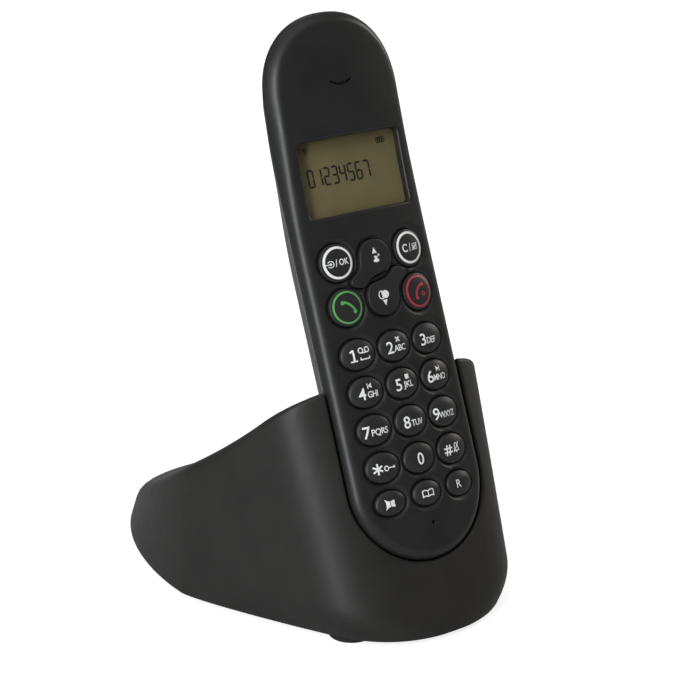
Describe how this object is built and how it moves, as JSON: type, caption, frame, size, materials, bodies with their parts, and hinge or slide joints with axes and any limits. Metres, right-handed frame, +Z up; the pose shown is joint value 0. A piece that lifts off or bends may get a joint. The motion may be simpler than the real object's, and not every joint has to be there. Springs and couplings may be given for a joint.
{
  "type": "cordless phone with charging base",
  "caption": "Slim rounded cordless handset with a keypad and small display, leaning back in a one-piece charging base with a low rounded tail.",
  "frame": {"origin": "middle of the bounding box at the underside of the feet, on the surface that the base stands on", "axes": "+Z up, the keypad faces -Y, +X to the right when facing the keypad"},
  "size_m": [0.0946, 0.1372, 0.1644],
  "materials": {
    "case": "fine-textured matte black moulding",
    "underside": "matte black moulding",
    "keys": "satin black moulding with printed legends",
    "rubber": "grey silicone",
    "feet": "black rubber",
    "window": "clear acrylic",
    "display": "olive liquid-crystal panel",
    "holder": "cream moulding",
    "circuit_board": "green solder mask",
    "spring_steel": "bright",
    "screws": "zinc plated",
    "contacts": "gold plated",
    "cell": "shrink sleeve",
    "socket": "cream moulding",
    "power_socket": "black moulding"
  },
  "bodies": {
    "base": {"base_shell": "case", "bottom_cover": "underside", "base_board": "circuit_board", "line_socket": "socket", "power_socket": "power_socket", "foot_1": "feet", "foot_2": "feet", "foot_3": "feet", "foot_4": "feet", "base_screw_1": "screws", "base_screw_2": "screws", "base_screw_3": "screws", "base_screw_4": "screws"},
    "handset": {"front_cover": "case", "rear_cover": "case", "display_window": "window", "display_module": "display", "display_holder": "holder", "keypad_membrane": "rubber", "handset_board": "circuit_board", "radio_shield": "spring_steel", "earpiece_receiver": "spring_steel", "loudspeaker": "spring_steel", "microphone": "spring_steel", "cell_left": "cell", "cell_right": "cell", "battery_contact_top": "spring_steel", "battery_contact_bottom": "spring_steel", "charge_contact_left": "contacts", "charge_contact_right": "contacts", "handset_screw_1": "screws", "handset_screw_2": "screws", "handset_screw_3": "screws", "handset_screw_4": "screws"},
    "battery_door": {"battery_door": "case"},
    "locate_button": {"locate_button": "keys"},
    "charge_pin_left": {"charge_pin_left": "contacts"},
    "charge_pin_right": {"charge_pin_right": "contacts"},
    "key_star": {"key_star": "keys"},
    "key_0": {"key_0": "keys"},
    "key_hash": {"key_hash": "keys"},
    "key_7": {"key_7": "keys"},
    "key_8": {"key_8": "keys"},
    "key_9": {"key_9": "keys"},
    "key_4": {"key_4": "keys"},
    "key_5": {"key_5": "keys"},
    "key_6": {"key_6": "keys"},
    "key_1": {"key_1": "keys"},
    "key_2": {"key_2": "keys"},
    "key_3": {"key_3": "keys"},
    "key_loudspeaker": {"key_loudspeaker": "keys"},
    "key_phonebook": {"key_phonebook": "keys"},
    "key_recall": {"key_recall": "keys"},
    "key_ok": {"key_ok": "keys"},
    "key_clear": {"key_clear": "keys"},
    "key_talk": {"key_talk": "keys"},
    "key_end": {"key_end": "keys"},
    "key_up": {"key_up": "keys"},
    "key_down": {"key_down": "keys"}
  },
  "joints": [
    {"name": "handset_lift", "type": "slide", "parent": "base", "child": "handset", "axis": [0, 0.3633, 0.9317], "range_m": [0, 0.08]},
    {"name": "battery_door_hinge", "type": "hinge", "parent": "handset", "child": "battery_door", "pos_m": [0, -0.02126, 0.05977], "axis": [-1, 0, 0], "range_deg": [0, 45]},
    {"name": "locate_press", "type": "slide", "parent": "base", "child": "locate_button", "axis": [0, -0.4777, -0.8785], "range_m": [0, 0.0008], "stiffness_N_per_m": 900},
    {"name": "charge_pin_left_press", "type": "slide", "parent": "base", "child": "charge_pin_left", "axis": [0, -0.3633, -0.9317], "range_m": [0, 0.0008], "stiffness_N_per_m": 900},
    {"name": "charge_pin_right_press", "type": "slide", "parent": "base", "child": "charge_pin_right", "axis": [0, -0.3633, -0.9317], "range_m": [0, 0.0008], "stiffness_N_per_m": 900},
    {"name": "key_star_press", "type": "slide", "parent": "handset", "child": "key_star", "axis": [0, 0.9317, -0.3633], "range_m": [0, 0.0006], "stiffness_N_per_m": 1200},
    {"name": "key_0_press", "type": "slide", "parent": "handset", "child": "key_0", "axis": [0, 0.9317, -0.3633], "range_m": [0, 0.0006], "stiffness_N_per_m": 1200},
    {"name": "key_hash_press", "type": "slide", "parent": "handset", "child": "key_hash", "axis": [0, 0.9317, -0.3633], "range_m": [0, 0.0006], "stiffness_N_per_m": 1200},
    {"name": "key_7_press", "type": "slide", "parent": "handset", "child": "key_7", "axis": [0, 0.9317, -0.3633], "range_m": [0, 0.0006], "stiffness_N_per_m": 1200},
    {"name": "key_8_press", "type": "slide", "parent": "handset", "child": "key_8", "axis": [0, 0.9317, -0.3633], "range_m": [0, 0.0006], "stiffness_N_per_m": 1200},
    {"name": "key_9_press", "type": "slide", "parent": "handset", "child": "key_9", "axis": [0, 0.9317, -0.3633], "range_m": [0, 0.0006], "stiffness_N_per_m": 1200},
    {"name": "key_4_press", "type": "slide", "parent": "handset", "child": "key_4", "axis": [0, 0.9317, -0.3633], "range_m": [0, 0.0006], "stiffness_N_per_m": 1200},
    {"name": "key_5_press", "type": "slide", "parent": "handset", "child": "key_5", "axis": [0, 0.9317, -0.3633], "range_m": [0, 0.0006], "stiffness_N_per_m": 1200},
    {"name": "key_6_press", "type": "slide", "parent": "handset", "child": "key_6", "axis": [0, 0.9317, -0.3633], "range_m": [0, 0.0006], "stiffness_N_per_m": 1200},
    {"name": "key_1_press", "type": "slide", "parent": "handset", "child": "key_1", "axis": [0, 0.9317, -0.3633], "range_m": [0, 0.0006], "stiffness_N_per_m": 1200},
    {"name": "key_2_press", "type": "slide", "parent": "handset", "child": "key_2", "axis": [0, 0.9317, -0.3633], "range_m": [0, 0.0006], "stiffness_N_per_m": 1200},
    {"name": "key_3_press", "type": "slide", "parent": "handset", "child": "key_3", "axis": [0, 0.9317, -0.3633], "range_m": [0, 0.0006], "stiffness_N_per_m": 1200},
    {"name": "key_loudspeaker_press", "type": "slide", "parent": "handset", "child": "key_loudspeaker", "axis": [0, 0.9317, -0.3633], "range_m": [0, 0.0006], "stiffness_N_per_m": 1200},
    {"name": "key_phonebook_press", "type": "slide", "parent": "handset", "child": "key_phonebook", "axis": [0, 0.9317, -0.3633], "range_m": [0, 0.0006], "stiffness_N_per_m": 1200},
    {"name": "key_recall_press", "type": "slide", "parent": "handset", "child": "key_recall", "axis": [0, 0.9317, -0.3633], "range_m": [0, 0.0006], "stiffness_N_per_m": 1200},
    {"name": "key_ok_press", "type": "slide", "parent": "handset", "child": "key_ok", "axis": [0, 0.9317, -0.3633], "range_m": [0, 0.0006], "stiffness_N_per_m": 1200},
    {"name": "key_clear_press", "type": "slide", "parent": "handset", "child": "key_clear", "axis": [0, 0.9317, -0.3633], "range_m": [0, 0.0006], "stiffness_N_per_m": 1200},
    {"name": "key_talk_press", "type": "slide", "parent": "handset", "child": "key_talk", "axis": [0, 0.9317, -0.3633], "range_m": [0, 0.0006], "stiffness_N_per_m": 1200},
    {"name": "key_end_press", "type": "slide", "parent": "handset", "child": "key_end", "axis": [0, 0.9317, -0.3633], "range_m": [0, 0.0006], "stiffness_N_per_m": 1200},
    {"name": "key_up_press", "type": "slide", "parent": "handset", "child": "key_up", "axis": [0, 0.9317, -0.3633], "range_m": [0, 0.0006], "stiffness_N_per_m": 1200},
    {"name": "key_down_press", "type": "slide", "parent": "handset", "child": "key_down", "axis": [0, 0.9317, -0.3633], "range_m": [0, 0.0006], "stiffness_N_per_m": 1200}
  ]
}
